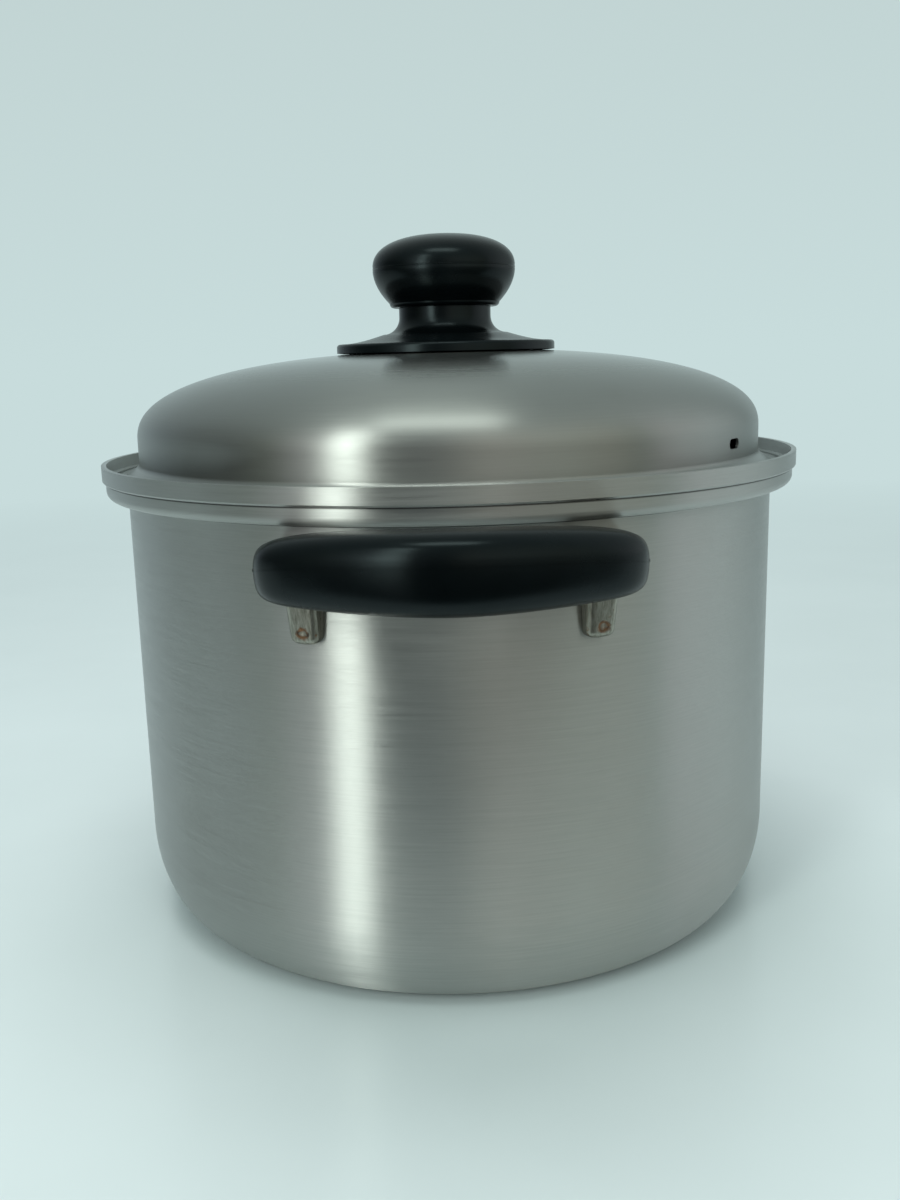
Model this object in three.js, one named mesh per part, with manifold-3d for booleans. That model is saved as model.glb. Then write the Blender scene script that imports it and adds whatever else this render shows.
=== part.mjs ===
// Water bath canner: a drawn steel pot with a stepped rim, a domed lid that sits down inside the rim,
// a screwed knob, two loop handles on welded brackets, and a wire rack that keeps jars off the base.
// Millimetres, +Z up. The origin is the centre of the base, on the floor. The front handle is at -Y.

import * as THREE from 'three';
import { mergeVertices } from 'three/addons/utils/BufferGeometryUtils.js';
import Module from 'manifold-3d';

const wasm = await Module();
wasm.setup();

// Clearances shared by the pieces
const restGap = 0.05;
const seatGap = 0.3;
const cutOver = 4;

// Pot: one drawn sheet
const bodyRadius = 120;
const bodySheet = 1.7;
const potHeight = 169.2;
const baseCornerRun = 18.3;
const baseCornerRise = 32.4;

// Pot rim: the wall flares out to a shelf, turns up as a band, steps out once and ends in a lip
const shelfDrop = 10.1;
const shelfReach = 7.5;
const shelfBendRadius = 2.2;
const bandBendRadius = 2.9;
const lipHeight = 5.5;
const lipStep = 1.2;
const lipStepRise = 0.5;

// Lid: one drawn sheet, heights counted up from the shelf it sits on
const lidSheet = 1;
const lidTop = 47.6;
const lidCrownFoot = 18.1;
const lidRoundness = 2.4;
const lidFlangeWidth = 9;
const lidWallFoot = 9.2;
const lidFlangeHeight = 5.4;
const lidFlangeSlopeRun = 5.3;
const lidSkirtBendRadius = 1.5;
const lidSeatMargin = 0.2;
const lidKnobFlatRadius = 12;

// Steam vent: a slot through the lid's upright side
const ventWidth = 7.6;
const ventHeight = 3.4;
const ventRise = 14.9;
const ventAzimuth = 54.5;

// Knob grip, counted up from the flat at the lid's top
const knobRadius = 26.6;
const knobTopRise = 42;
const knobWaistRise = 29.8;
const knobUnderRise = 15.7;
const knobUnderRadius = 20.6;
const knobEdgeRadius = 1.6;
const knobRoundness = 2.4;

// Knob collar: neck and flange
const neckRadius = 17.2;
const neckFilletRadius = 6.2;
const flangeRadius = 41;
const flangeEdgeThickness = 3.6;
const flangeEdgeRadius = 1.2;
const flangeEdgeGap = 0.3;
const flangeTopSlope = 3.2;
const flangeHollow = 0.9;

// Knob fixing: screw, washer and brass insert
const knobScrewRadius = 2.5;
const knobScrewHeadRadius = 5.2;
const knobScrewHeadHeight = 3;
const knobWasherRadius = 9;
const knobWasherThickness = 1.2;
const knobInsertRadius = 4.4;
const knobInsertLength = 13;
const knobHoleClearance = 0.5;

// Loop handle: plan of its centre line, counted from the pot's axis and wall
const handleFootSpan = 44.6;
const handleKneeSpan = 48;
const handleKneeReach = 6.8;
const handleShoulderSpan = 35.7;
const handleShoulderReach = 17;
const handleReach = 39;

// Loop handle: its section at the legs and at the middle
const legWidth = 16.8;
const gripWidth = 20;
const legCrown = 8;
const gripCrown = 7.9;
const legDrop = 31.8;
const gripSag = 1.3;
const legPartingRise = 8.6;
const gripPartingRise = 16.4;
const legRoundness = 3.9;
const gripRoundness = 2.6;
const handleFullness = 0.5;

// Bracket: a pressed steel lug on the wall with a tongue inside the handle's leg
const bracketInset = 1.6;
const bracketWidth = 10;
const bracketEndWidth = 9.2;
const bracketDrop = 16;
const bracketSheet = 1.5;
const bracketFootDepth = 3.6;
const bracketTopDepth = 6.2;
const tongueRise = 4.2;
const tongueWidth = 9;
const tongueScrewReach = 10.2;
const pocketClearance = 0.4;
const weldMarkRadius = 1.9;
const weldMarkDepth = 0.6;
const weldMarkRise = 4;

// Handle fixing: screw, spring washer and brass insert in each leg
const handleScrewRadius = 1.9;
const handleScrewHeadRadius = 3.5;
const handleScrewHeadHeight = 2.2;
const springWasherRadius = 3.4;
const springWasherThickness = 0.9;
const handleInsertRadius = 3.1;
const handleInsertLength = 6.6;

// Jar rack: ring and foot bars in one layer, top rods across them
const rackMargin = 9.5;
const rackHeight = 22.6;
const rackRingWire = 2;
const rackRodWire = 1.5;
const rackRodCount = 9;
const rackEndRodInset = 13.2;
const rackFootSpan = 48;
const rackFootMargin = 4;
const rackBendRadius = 5.5;

// How finely round forms are divided
const potSteps = 52;
const knobSteps = 32;
const insertSteps = 14;
const screwSteps = 12;
const wireSides = 6;
const rackRingSteps = 36;
const cutterSteps = 112;

// Sizes that several pieces share
const shelfHeight = potHeight - shelfDrop;
const bandRadius = bodyRadius + shelfReach;
const floorFlatRadius = bodyRadius - baseCornerRun;
const lidEdgeRadius = bandRadius - bandBendRadius - lidSeatMargin;
const lidWallRadius = lidEdgeRadius - lidFlangeWidth;
const legUnderside = potHeight - legDrop;
const gripUnderside = legUnderside - gripSag;
const bracketAngle = Math.asin((handleFootSpan - bracketInset) / bodyRadius);
const tongueUnder = legUnderside + tongueRise;
const tongueTop = tongueUnder + bracketSheet;

// A closed geometry as a solid that can be joined and cut
function toSolid(geometry) {
  const bare = geometry.clone();
  bare.deleteAttribute('normal');
  bare.deleteAttribute('uv');
  const merged = mergeVertices(bare);
  const index = Array.from(merged.index.array);
  const corners = [];
  for (let i = 0; i < index.length; i += 3) {
    const [a, b, c] = index.slice(i, i + 3);
    if (a !== b && b !== c && c !== a) {
      corners.push(a, b, c);
    }
  }
  return new wasm.Manifold(new wasm.Mesh({
    numProp: 3,
    vertProperties: new Float32Array(merged.attributes.position.array),
    triVerts: new Uint32Array(corners),
  }));
}

// A solid back as a geometry
function toGeometry(solid) {
  const mesh = solid.getMesh();
  const geometry = new THREE.BufferGeometry();
  geometry.setAttribute('position', new THREE.BufferAttribute(new Float32Array(mesh.vertProperties), 3));
  geometry.setIndex(new THREE.BufferAttribute(new Uint32Array(mesh.triVerts), 1));
  geometry.computeVertexNormals();
  return geometry;
}

// The first geometry with all the others taken away from it
function cut(geometry, ...tools) {
  const solid = tools.reduce((rest, tool) => rest.subtract(toSolid(tool)), toSolid(geometry));
  return toGeometry(solid);
}

// Points on an arc of an ellipse, both ends included
function arc(centreX, centreY, radiusX, radiusY, from, to, steps) {
  return Array.from({ length: steps + 1 }, (_, i) => {
    const angle = from + (to - from) * i / steps;
    return new THREE.Vector2(centreX + radiusX * Math.cos(angle), centreY + radiusY * Math.sin(angle));
  });
}

// The same outline moved to its left by a distance, with mitred corners, still starting on the axis
function offsetLeft(outline, distance) {
  const normals = outline.slice(1).map((point, i) => {
    const along = point.clone().sub(outline[i]).normalize();
    return new THREE.Vector2(-along.y, along.x);
  });
  return outline.map((point, i) => {
    const before = normals[Math.max(i - 1, 0)];
    const after = normals[Math.min(i, normals.length - 1)];
    const mitre = before.clone().add(after).divideScalar(1 + before.dot(after));
    return point.clone().addScaledVector(mitre, distance);
  });
}

// A profile turned about the vertical axis
function turned(profile, steps) {
  return new THREE.LatheGeometry(profile, steps).rotateX(Math.PI / 2);
}

// A short upright cylinder between two heights
function rod(radius, from, to, steps) {
  const geometry = new THREE.CylinderGeometry(radius, radius, to - from, steps);
  return geometry.rotateX(Math.PI / 2).translate(0, 0, (from + to) / 2);
}

// A ring of square section between two radii and two heights
function bush(inner, outer, from, to, steps) {
  return turned([
    new THREE.Vector2(inner, from),
    new THREE.Vector2(outer, from),
    new THREE.Vector2(outer, to),
    new THREE.Vector2(inner, to),
    new THREE.Vector2(inner, from),
  ], steps);
}

// A flat shape pushed through a depth, with its own x, y and push directions turned to the given ones
function pushed(shape, depth, xAxis, yAxis, start) {
  const geometry = new THREE.ExtrudeGeometry(shape, { depth, bevelEnabled: false, curveSegments: 6 });
  const push = new THREE.Vector3().crossVectors(xAxis, yAxis);
  geometry.applyMatrix4(new THREE.Matrix4().makeBasis(xAxis, yAxis, push));
  return geometry.translate(push.x * start, push.y * start, push.z * start);
}

// A closed skin over rings of points, with flat ends; rings run the way the sweep goes
function skinned(rings) {
  const sides = rings[0].length;
  const positions = rings.flat();
  const triangles = [];
  for (let i = 0; i + 1 < rings.length; i += 1) {
    for (let j = 0; j < sides; j += 1) {
      const a = i * sides + j;
      const d = i * sides + (j + 1) % sides;
      triangles.push(a, a + sides, d + sides, a, d + sides, d);
    }
  }
  [0, rings.length - 1].forEach((i) => {
    const middle = new THREE.Vector3();
    rings[i].forEach((point) => middle.add(point));
    positions.push(middle.divideScalar(sides));
    for (let j = 0; j < sides; j += 1) {
      const here = i * sides + j;
      const next = i * sides + (j + 1) % sides;
      triangles.push(positions.length - 1, i === 0 ? here : next, i === 0 ? next : here);
    }
  });
  return new THREE.BufferGeometry().setFromPoints(positions).setIndex(triangles);
}

// The pot's outer face, from the middle of its base to the end of its lip
function potOutline() {
  const shelfUnder = shelfHeight - bodySheet;
  const lipRadius = bandRadius + lipStep;
  const lipFoot = potHeight - lipHeight;
  return [
    new THREE.Vector2(0, 0),
    ...arc(floorFlatRadius, baseCornerRise, baseCornerRun, baseCornerRise, -Math.PI / 2, 0, 5),
    ...arc(
      bodyRadius + shelfBendRadius, shelfUnder - shelfBendRadius,
      shelfBendRadius, shelfBendRadius, Math.PI, Math.PI / 2, 2,
    ),
    ...arc(
      bandRadius - bandBendRadius, shelfUnder + bandBendRadius,
      bandBendRadius, bandBendRadius, -Math.PI / 2, 0, 3,
    ),
    new THREE.Vector2(bandRadius, lipFoot - lipStepRise),
    new THREE.Vector2(lipRadius, lipFoot),
    new THREE.Vector2(lipRadius, potHeight - bodySheet / 2),
  ];
}

// Pot body: the drawn sheet with its rounded lip edge
function potBody() {
  const outside = potOutline();
  const inside = offsetLeft(outside, bodySheet);
  const edge = outside[outside.length - 1];
  const lipRound = arc(edge.x - bodySheet / 2, edge.y, bodySheet / 2, bodySheet / 2, 0, Math.PI, 4);
  return turned([...outside, ...lipRound.slice(1, -1), ...inside.reverse()], potSteps);
}

// Height of the lid's upper face at a distance from the axis: a flattened superellipse
function lidFaceHeight(distance) {
  const left = 1 - (distance / lidWallRadius) ** lidRoundness;
  return lidCrownFoot + (lidTop - lidCrownFoot) * left ** (1 / lidRoundness);
}

// The lid's upper face, from its knob flat out to the lower edge of its skirt
function lidOutline() {
  const crownSteps = 10;
  const crown = Array.from({ length: crownSteps }, (_, i) => {
    const angle = Math.PI / 2 * i / crownSteps;
    const distance = lidWallRadius * Math.cos(angle) ** (2 / lidRoundness);
    return new THREE.Vector2(distance, lidFaceHeight(distance));
  });
  const skirtX = lidEdgeRadius - lidSkirtBendRadius;
  const flangeX = lidWallRadius + lidFlangeSlopeRun;
  return [
    new THREE.Vector2(0, lidTop),
    new THREE.Vector2(lidKnobFlatRadius, lidTop),
    ...crown.reverse(),
    new THREE.Vector2(lidWallRadius, lidWallFoot),
    new THREE.Vector2(flangeX, lidFlangeHeight),
    ...arc(
      skirtX, lidFlangeHeight - lidSkirtBendRadius,
      lidSkirtBendRadius, lidSkirtBendRadius, Math.PI / 2, 0, 2,
    ),
    new THREE.Vector2(lidEdgeRadius, restGap),
  ];
}

// Slot for the steam vent, run out through the lid's side along -Y and then turned to its azimuth
function ventCutter() {
  const end = ventHeight / 2;
  const half = ventWidth / 2 - end;
  const slot = new THREE.Shape();
  slot.absarc(half, 0, end, -Math.PI / 2, Math.PI / 2);
  slot.absarc(-half, 0, end, Math.PI / 2, 3 * Math.PI / 2);
  const cutter = pushed(
    slot, 4 * cutOver,
    new THREE.Vector3(1, 0, 0), new THREE.Vector3(0, 0, 1), lidWallRadius - 3 * cutOver,
  );
  return cutter.translate(0, 0, ventRise).rotateZ(THREE.MathUtils.degToRad(ventAzimuth));
}

// Lid shell: the drawn sheet, its screw hole and its vent
function lidShell() {
  const upper = lidOutline();
  const under = offsetLeft(upper, -lidSheet);
  under[under.length - 1].y = restGap;
  const shell = turned([...under, ...upper.reverse()], potSteps);
  const holeRadius = knobScrewRadius + knobHoleClearance;
  const hole = rod(holeRadius, lidTop - lidSheet - cutOver, lidTop + cutOver, insertSteps);
  return cut(shell, hole, ventCutter());
}

// Knob grip: a mushroom with an elliptical crown, a tapered skirt and a blind hole for its insert
function knobGrip() {
  const waist = lidTop + knobWaistRise;
  const under = lidTop + knobUnderRise;
  const taperRun = knobRadius - knobUnderRadius;
  const taperDrop = waist - under - knobEdgeRadius;
  const crownSteps = 6;
  const taperSteps = 3;
  const crown = Array.from({ length: crownSteps + 1 }, (_, i) => {
    const angle = Math.PI / 2 * i / crownSteps;
    const out = Math.cos(angle) ** (2 / knobRoundness);
    const up = Math.sin(angle) ** (2 / knobRoundness);
    return new THREE.Vector2(
      i === crownSteps ? 0 : knobRadius * out,
      waist + (knobTopRise - knobWaistRise) * up,
    );
  });
  const taper = Array.from({ length: taperSteps }, (_, i) => {
    const share = 1 - i / taperSteps;
    return new THREE.Vector2(knobRadius - taperRun * share ** 2, waist - taperDrop * share);
  });
  const edge = arc(
    knobUnderRadius - knobEdgeRadius, under + knobEdgeRadius,
    knobEdgeRadius, knobEdgeRadius, -Math.PI / 2, 0, 2,
  );
  const grip = turned([new THREE.Vector2(0, under), ...edge.slice(0, -1), ...taper, ...crown], knobSteps);
  const socket = rod(
    knobInsertRadius + seatGap, under - cutOver,
    under + knobInsertLength + 2 * seatGap, insertSteps,
  );
  return cut(grip, socket);
}

// Knob collar: neck, filleted flange that follows the dome, hollow underside and a bore for the screw
function knobCollar() {
  const neckTop = lidTop + knobUnderRise - restGap;
  const edgeUnder = lidFaceHeight(flangeRadius) + flangeEdgeGap;
  const edgeTop = edgeUnder + flangeEdgeThickness;
  const rootRadius = neckRadius + neckFilletRadius;
  const rootHeight = edgeTop + flangeTopSlope;
  const bore = knobScrewRadius + knobHoleClearance;
  const landRadius = flangeRadius - flangeEdgeThickness;
  const seat = lidTop + restGap;
  return turned([
    new THREE.Vector2(bore, seat),
    new THREE.Vector2(lidKnobFlatRadius, seat),
    new THREE.Vector2(lidKnobFlatRadius + flangeHollow, seat + flangeHollow),
    new THREE.Vector2(landRadius, edgeUnder + flangeHollow),
    new THREE.Vector2(landRadius + flangeHollow, edgeUnder),
    new THREE.Vector2(flangeRadius, edgeUnder + flangeEdgeGap),
    ...arc(
      flangeRadius - flangeEdgeRadius, edgeTop - flangeEdgeRadius,
      flangeEdgeRadius, flangeEdgeRadius, 0, Math.PI / 2, 2,
    ),
    ...arc(
      rootRadius, rootHeight + neckFilletRadius,
      neckFilletRadius, neckFilletRadius, -Math.PI / 2, -Math.PI, 4,
    ),
    new THREE.Vector2(neckRadius, neckTop),
    new THREE.Vector2(bore, neckTop),
    new THREE.Vector2(bore, seat),
  ], knobSteps);
}

// A pan head screw standing upright: head below the given height, shank above it
function panScrew(shankRadius, headRadius, headHeight, seat, tip, steps) {
  const crown = arc(0, seat - headHeight / 2, headRadius, headHeight / 2, -Math.PI / 2, 0, 3);
  crown[0].x = 0;
  return turned([
    ...crown,
    new THREE.Vector2(headRadius, seat),
    new THREE.Vector2(shankRadius, seat),
    new THREE.Vector2(shankRadius, tip - shankRadius / 2),
    new THREE.Vector2(shankRadius / 2, tip),
    new THREE.Vector2(0, tip),
  ], steps);
}

// Knob screw, washer and insert, all on the knob's axis
function knobScrew() {
  const seat = lidTop - lidSheet - knobWasherThickness - 2 * restGap;
  const tip = lidTop + knobUnderRise + knobInsertLength;
  return panScrew(knobScrewRadius, knobScrewHeadRadius, knobScrewHeadHeight, seat, tip, screwSteps);
}

function knobWasher() {
  const top = lidTop - lidSheet - restGap;
  const hole = knobScrewRadius + knobHoleClearance;
  return bush(hole, knobWasherRadius, top - knobWasherThickness, top, knobSteps / 2);
}

function knobInsert() {
  const foot = lidTop + knobUnderRise;
  return bush(knobScrewRadius + seatGap, knobInsertRadius, foot, foot + knobInsertLength, insertSteps);
}

// The handle's centre line in plan, from the left foot round the front to the right foot
function handlePath() {
  const kneeY = -bodyRadius - handleKneeReach;
  const shoulderY = -bodyRadius - handleShoulderReach;
  const footY = Math.sqrt(bodyRadius ** 2 - handleFootSpan ** 2) - cutOver;
  const half = [
    new THREE.Vector3(handleFootSpan, -footY, 0),
    new THREE.Vector3(handleKneeSpan, kneeY, 0),
    new THREE.Vector3(handleShoulderSpan, shoulderY, 0),
  ];
  const left = half.map((point) => new THREE.Vector3(-point.x, point.y, 0));
  const front = new THREE.Vector3(0, gripWidth / 2 - bodyRadius - handleReach, 0);
  return new THREE.CatmullRomCurve3([...left, front, ...half.reverse()]);
}

// One ring of the handle's section: a soft box, widest at its parting height. The legs keep one
// size as far as the knee, and from there the section swells to the middle.
function handleRing(point, outward, sides) {
  const pastKnee = -point.y > bodyRadius + handleKneeReach;
  const share = pastKnee ? Math.max(0, 1 - Math.abs(point.x) / handleKneeSpan) : 0;
  const swell = Math.sin(share * Math.PI / 2) ** handleFullness;
  const halfWidth = THREE.MathUtils.lerp(legWidth, gripWidth, swell) / 2;
  const crown = THREE.MathUtils.lerp(legCrown, gripCrown, swell);
  const belly = THREE.MathUtils.lerp(legPartingRise, gripPartingRise, swell);
  const parting = THREE.MathUtils.lerp(legUnderside, gripUnderside, swell) + belly;
  const power = 2 / THREE.MathUtils.lerp(legRoundness, gripRoundness, swell);
  return Array.from({ length: sides }, (_, j) => {
    const angle = 2 * Math.PI * j / sides;
    const across = Math.sign(Math.cos(angle)) * Math.abs(Math.cos(angle)) ** power;
    const up = Math.sign(Math.sin(angle)) * Math.abs(Math.sin(angle)) ** power;
    return new THREE.Vector3(
      point.x + outward.x * across * halfWidth,
      point.y + outward.y * across * halfWidth,
      parting + up * (up > 0 ? crown : belly),
    );
  });
}

// The pocket that one bracket needs in a handle's leg, with the hole for the insert above it
function legPocket(side) {
  const wide = bracketWidth + 2 * pocketClearance;
  const deep = bracketTopDepth + pocketClearance;
  const roof = tongueTop + seatGap;
  const tall = roof - legUnderside + cutOver;
  const lug = new THREE.BoxGeometry(wide, deep + cutOver, tall);
  lug.translate(0, -bodyRadius - (deep - cutOver) / 2, roof - tall / 2);
  const tongue = tongueShape(pocketClearance);
  const recess = pushed(
    tongue, tall, new THREE.Vector3(1, 0, 0), new THREE.Vector3(0, 1, 0), roof - tall,
  );
  const hole = rod(
    handleInsertRadius + seatGap, roof - cutOver,
    roof + handleInsertLength + seatGap, insertSteps,
  );
  hole.translate(0, -bodyRadius - tongueScrewReach, 0);
  return [lug, recess, hole].map((tool) => tool.rotateZ(side * bracketAngle));
}

// Handle: the soft-boxed loop, hollowed to the wall's curve and pocketed for its two brackets
function handle() {
  const path = handlePath();
  const steps = 24;
  const sides = 16;
  const rings = path.getPoints(steps).map((point, i) => {
    const along = path.getTangent(i / steps);
    const outward = new THREE.Vector3(along.y, -along.x, 0).normalize();
    return handleRing(point, outward, sides);
  });
  const wall = rod(bodyRadius + seatGap, 0, potHeight, cutterSteps);
  return cut(skinned(rings), wall, ...legPocket(1), ...legPocket(-1));
}

// Plan of the bracket's tongue, grown by a margin: straight sides out of the wall and a round end
function tongueShape(margin) {
  const half = tongueWidth / 2 + margin;
  const shape = new THREE.Shape();
  shape.moveTo(half, cutOver - bodyRadius);
  shape.lineTo(-half, cutOver - bodyRadius);
  shape.absarc(0, -bodyRadius - tongueScrewReach, half, Math.PI, 2 * Math.PI);
  return shape;
}

// The bracket's lug seen from the front: a barrel with an arched lower end
function lugFront(top, bottom) {
  const half = bracketWidth / 2;
  const endHalf = bracketEndWidth / 2;
  const shape = new THREE.Shape();
  shape.moveTo(half, top);
  shape.lineTo(-half, top);
  shape.lineTo(-half, legUnderside);
  shape.quadraticCurveTo(-half, (legUnderside + bottom) / 2, -endHalf, bottom + bracketSheet);
  shape.quadraticCurveTo(0, bottom - bracketSheet / 2, endHalf, bottom + bracketSheet);
  shape.quadraticCurveTo(half, (legUnderside + bottom) / 2, half, legUnderside);
  return shape;
}

// The lug seen from the side, from the wall outwards: it leans out towards the handle
function lugSide(top, bottom, inset) {
  const shape = new THREE.Shape();
  shape.moveTo(-cutOver, bottom + inset);
  shape.lineTo(bracketFootDepth - inset, bottom + inset);
  shape.lineTo(bracketTopDepth - inset, legUnderside);
  shape.lineTo(bracketTopDepth - inset, top - inset);
  shape.lineTo(-cutOver, top - inset);
  return shape;
}

// Bracket: hollow lug, tongue with its screw hole, and the dished spot weld low on its face
function bracket() {
  const bottom = legUnderside - bracketDrop;
  const x = new THREE.Vector3(1, 0, 0);
  const out = new THREE.Vector3(0, -1, 0);
  const up = new THREE.Vector3(0, 0, 1);
  const side = (inset, width) => pushed(lugSide(tongueTop, bottom, inset), width, out, up, -width / 2)
    .translate(0, -bodyRadius, 0);
  const front = pushed(
    lugFront(tongueTop, bottom), bracketTopDepth + 2 * cutOver, x, up, bodyRadius - cutOver,
  );
  const tongue = pushed(tongueShape(0), bracketSheet, x, new THREE.Vector3(0, 1, 0), tongueUnder);
  const weldDepth = bracketFootDepth + (bracketTopDepth - bracketFootDepth) * weldMarkRise / bracketDrop;
  const weldMark = new THREE.CylinderGeometry(weldMarkRadius, weldMarkRadius, cutOver, screwSteps);
  weldMark.translate(0, cutOver / 2 + weldDepth - weldMarkDepth + bodyRadius, 0).rotateX(Math.PI);
  weldMark.translate(0, 0, bottom + weldMarkRise);
  const screwHole = rod(handleScrewRadius + seatGap, tongueUnder - cutOver, tongueTop + cutOver, screwSteps);
  screwHole.translate(0, -bodyRadius - tongueScrewReach, 0);
  const lug = toSolid(side(0, bracketWidth)).intersect(toSolid(front));
  const hollow = toSolid(side(bracketSheet, bracketEndWidth - 2 * bracketSheet));
  const whole = lug.subtract(hollow).add(toSolid(tongue));
  const wall = rod(bodyRadius + seatGap, 0, potHeight, cutterSteps);
  return cut(toGeometry(whole), wall, screwHole, weldMark);
}

// Handle screw, spring washer and insert, on the axis of the tongue's hole
function handleScrew() {
  const seat = tongueUnder - springWasherThickness - 2 * seatGap;
  const tip = tongueTop + handleInsertLength;
  const screw = panScrew(
    handleScrewRadius, handleScrewHeadRadius, handleScrewHeadHeight, seat, tip, screwSteps,
  );
  return screw.translate(0, -bodyRadius - tongueScrewReach, 0);
}

function springWasher() {
  const top = tongueUnder - seatGap;
  const washer = bush(
    handleScrewRadius + seatGap, springWasherRadius, top - springWasherThickness, top, screwSteps,
  );
  return washer.translate(0, -bodyRadius - tongueScrewReach, 0);
}

function handleInsert() {
  const foot = tongueTop + seatGap;
  const insert = bush(
    handleScrewRadius + seatGap, handleInsertRadius, foot, foot + handleInsertLength, screwSteps,
  );
  return insert.translate(0, -bodyRadius - tongueScrewReach, 0);
}

// Rack ring, its height counted from the pot's inner floor
function rackRingRadius() {
  return bodyRadius - bodySheet - rackMargin - rackRingWire;
}

function rackWireHeight() {
  return rackHeight - 2 * rackRodWire - seatGap - rackRingWire;
}

function rackRing() {
  const ring = new THREE.TorusGeometry(rackRingRadius(), rackRingWire, wireSides, rackRingSteps);
  return ring.translate(0, 0, rackWireHeight());
}

// One straight top rod along X, cut to end over the ring
function rackRod(offset) {
  const half = Math.sqrt(rackRingRadius() ** 2 - offset ** 2);
  const wire = new THREE.CylinderGeometry(rackRodWire, rackRodWire, 2 * half, wireSides);
  return wire.rotateZ(Math.PI / 2).translate(0, offset, rackHeight - rackRodWire);
}

// One foot bar along Y: a wire whose two ends bend straight down to stand on the floor
function rackFootBar(offset) {
  const feet = Math.sqrt((floorFlatRadius - rackFootMargin) ** 2 - rackFootSpan ** 2);
  const height = rackWireHeight();
  const bend = arc(
    feet - rackBendRadius, height - rackBendRadius,
    rackBendRadius, rackBendRadius, 0, Math.PI / 2, 3,
  );
  const right = [new THREE.Vector2(feet, restGap), ...bend];
  const left = right.map((point) => new THREE.Vector2(-point.x, point.y)).reverse();
  const line = [...right, ...left];
  const rings = line.map((point, i) => {
    const before = line[Math.max(i - 1, 0)];
    const after = line[Math.min(i + 1, line.length - 1)];
    const along = i === 0 || i === line.length - 1
      ? new THREE.Vector2(0, i === 0 ? 1 : -1)
      : after.clone().sub(before).normalize();
    return Array.from({ length: wireSides }, (_, j) => {
      const angle = 2 * Math.PI * j / wireSides;
      const out = rackRingWire * Math.sin(angle);
      return new THREE.Vector3(
        offset + rackRingWire * Math.cos(angle),
        point.x - along.y * out,
        point.y + along.x * out,
      );
    });
  });
  return skinned(rings);
}

// Finishes
const finishes = {
  brushedSteel: { color: 0xb3b5b2, roughness: 0.34, metalness: 1 },
  pressedSteel: { color: 0xa6a7a2, roughness: 0.4, metalness: 1 },
  brightWire: { color: 0xc4c6c6, roughness: 0.22, metalness: 1 },
  platedScrew: { color: 0xb9bab8, roughness: 0.3, metalness: 1 },
  brass: { color: 0xb5924c, roughness: 0.35, metalness: 1 },
  blackPhenolic: { color: 0x15181b, roughness: 0.45, metalness: 0 },
};

// A named piece with a material of its own
function piece(name, geometry, finish) {
  const mesh = new THREE.Mesh(geometry, new THREE.MeshStandardMaterial(finishes[finish]));
  mesh.name = name;
  return mesh;
}

// One side's handle with its brackets and fixings, built at the front
function handleSet(side) {
  const set = new THREE.Group();
  set.add(piece(`${side}_handle`, handle(), 'blackPhenolic'));
  [['left', -1], ['right', 1]].forEach(([hand, turn]) => {
    const leg = new THREE.Group();
    leg.rotation.z = turn * bracketAngle;
    leg.add(
      piece(`${side}_bracket_${hand}`, bracket(), 'pressedSteel'),
      piece(`${side}_handle_screw_${hand}`, handleScrew(), 'platedScrew'),
      piece(`${side}_spring_washer_${hand}`, springWasher(), 'platedScrew'),
      piece(`${side}_handle_insert_${hand}`, handleInsert(), 'brass'),
    );
    set.add(leg);
  });
  return set;
}

// Lid with its knob, placed on the pot's shelf
function lidSet() {
  const set = new THREE.Group();
  set.position.z = shelfHeight;
  set.add(
    piece('lid_shell', lidShell(), 'brushedSteel'),
    piece('knob_grip', knobGrip(), 'blackPhenolic'),
    piece('knob_collar', knobCollar(), 'blackPhenolic'),
    piece('knob_insert', knobInsert(), 'brass'),
    piece('knob_screw', knobScrew(), 'platedScrew'),
    piece('knob_washer', knobWasher(), 'platedScrew'),
  );
  return set;
}

// Rack, placed on the pot's inner floor
function rackSet() {
  const set = new THREE.Group();
  set.position.z = bodySheet;
  set.add(piece('rack_ring', rackRing(), 'brightWire'));
  const lastOffset = rackRingRadius() - rackEndRodInset;
  for (let i = 0; i < rackRodCount; i += 1) {
    const offset = lastOffset * (2 * i / (rackRodCount - 1) - 1);
    set.add(piece(`rack_rod_${i + 1}`, rackRod(offset), 'brightWire'));
  }
  set.add(piece('rack_foot_bar_left', rackFootBar(-rackFootSpan), 'brightWire'));
  set.add(piece('rack_foot_bar_right', rackFootBar(rackFootSpan), 'brightWire'));
  return set;
}

const canner = new THREE.Group();
const rearSet = handleSet('rear');
rearSet.rotation.z = Math.PI;
canner.add(piece('pot_body', potBody(), 'brushedSteel'), handleSet('front'), rearSet, lidSet(), rackSet());

export default canner;
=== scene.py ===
# The looks of a small water bath canner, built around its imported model. Metres, +Z up.
# The origin is the centre of the base, on the floor, and the front handle is at -Y.

import math

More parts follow.
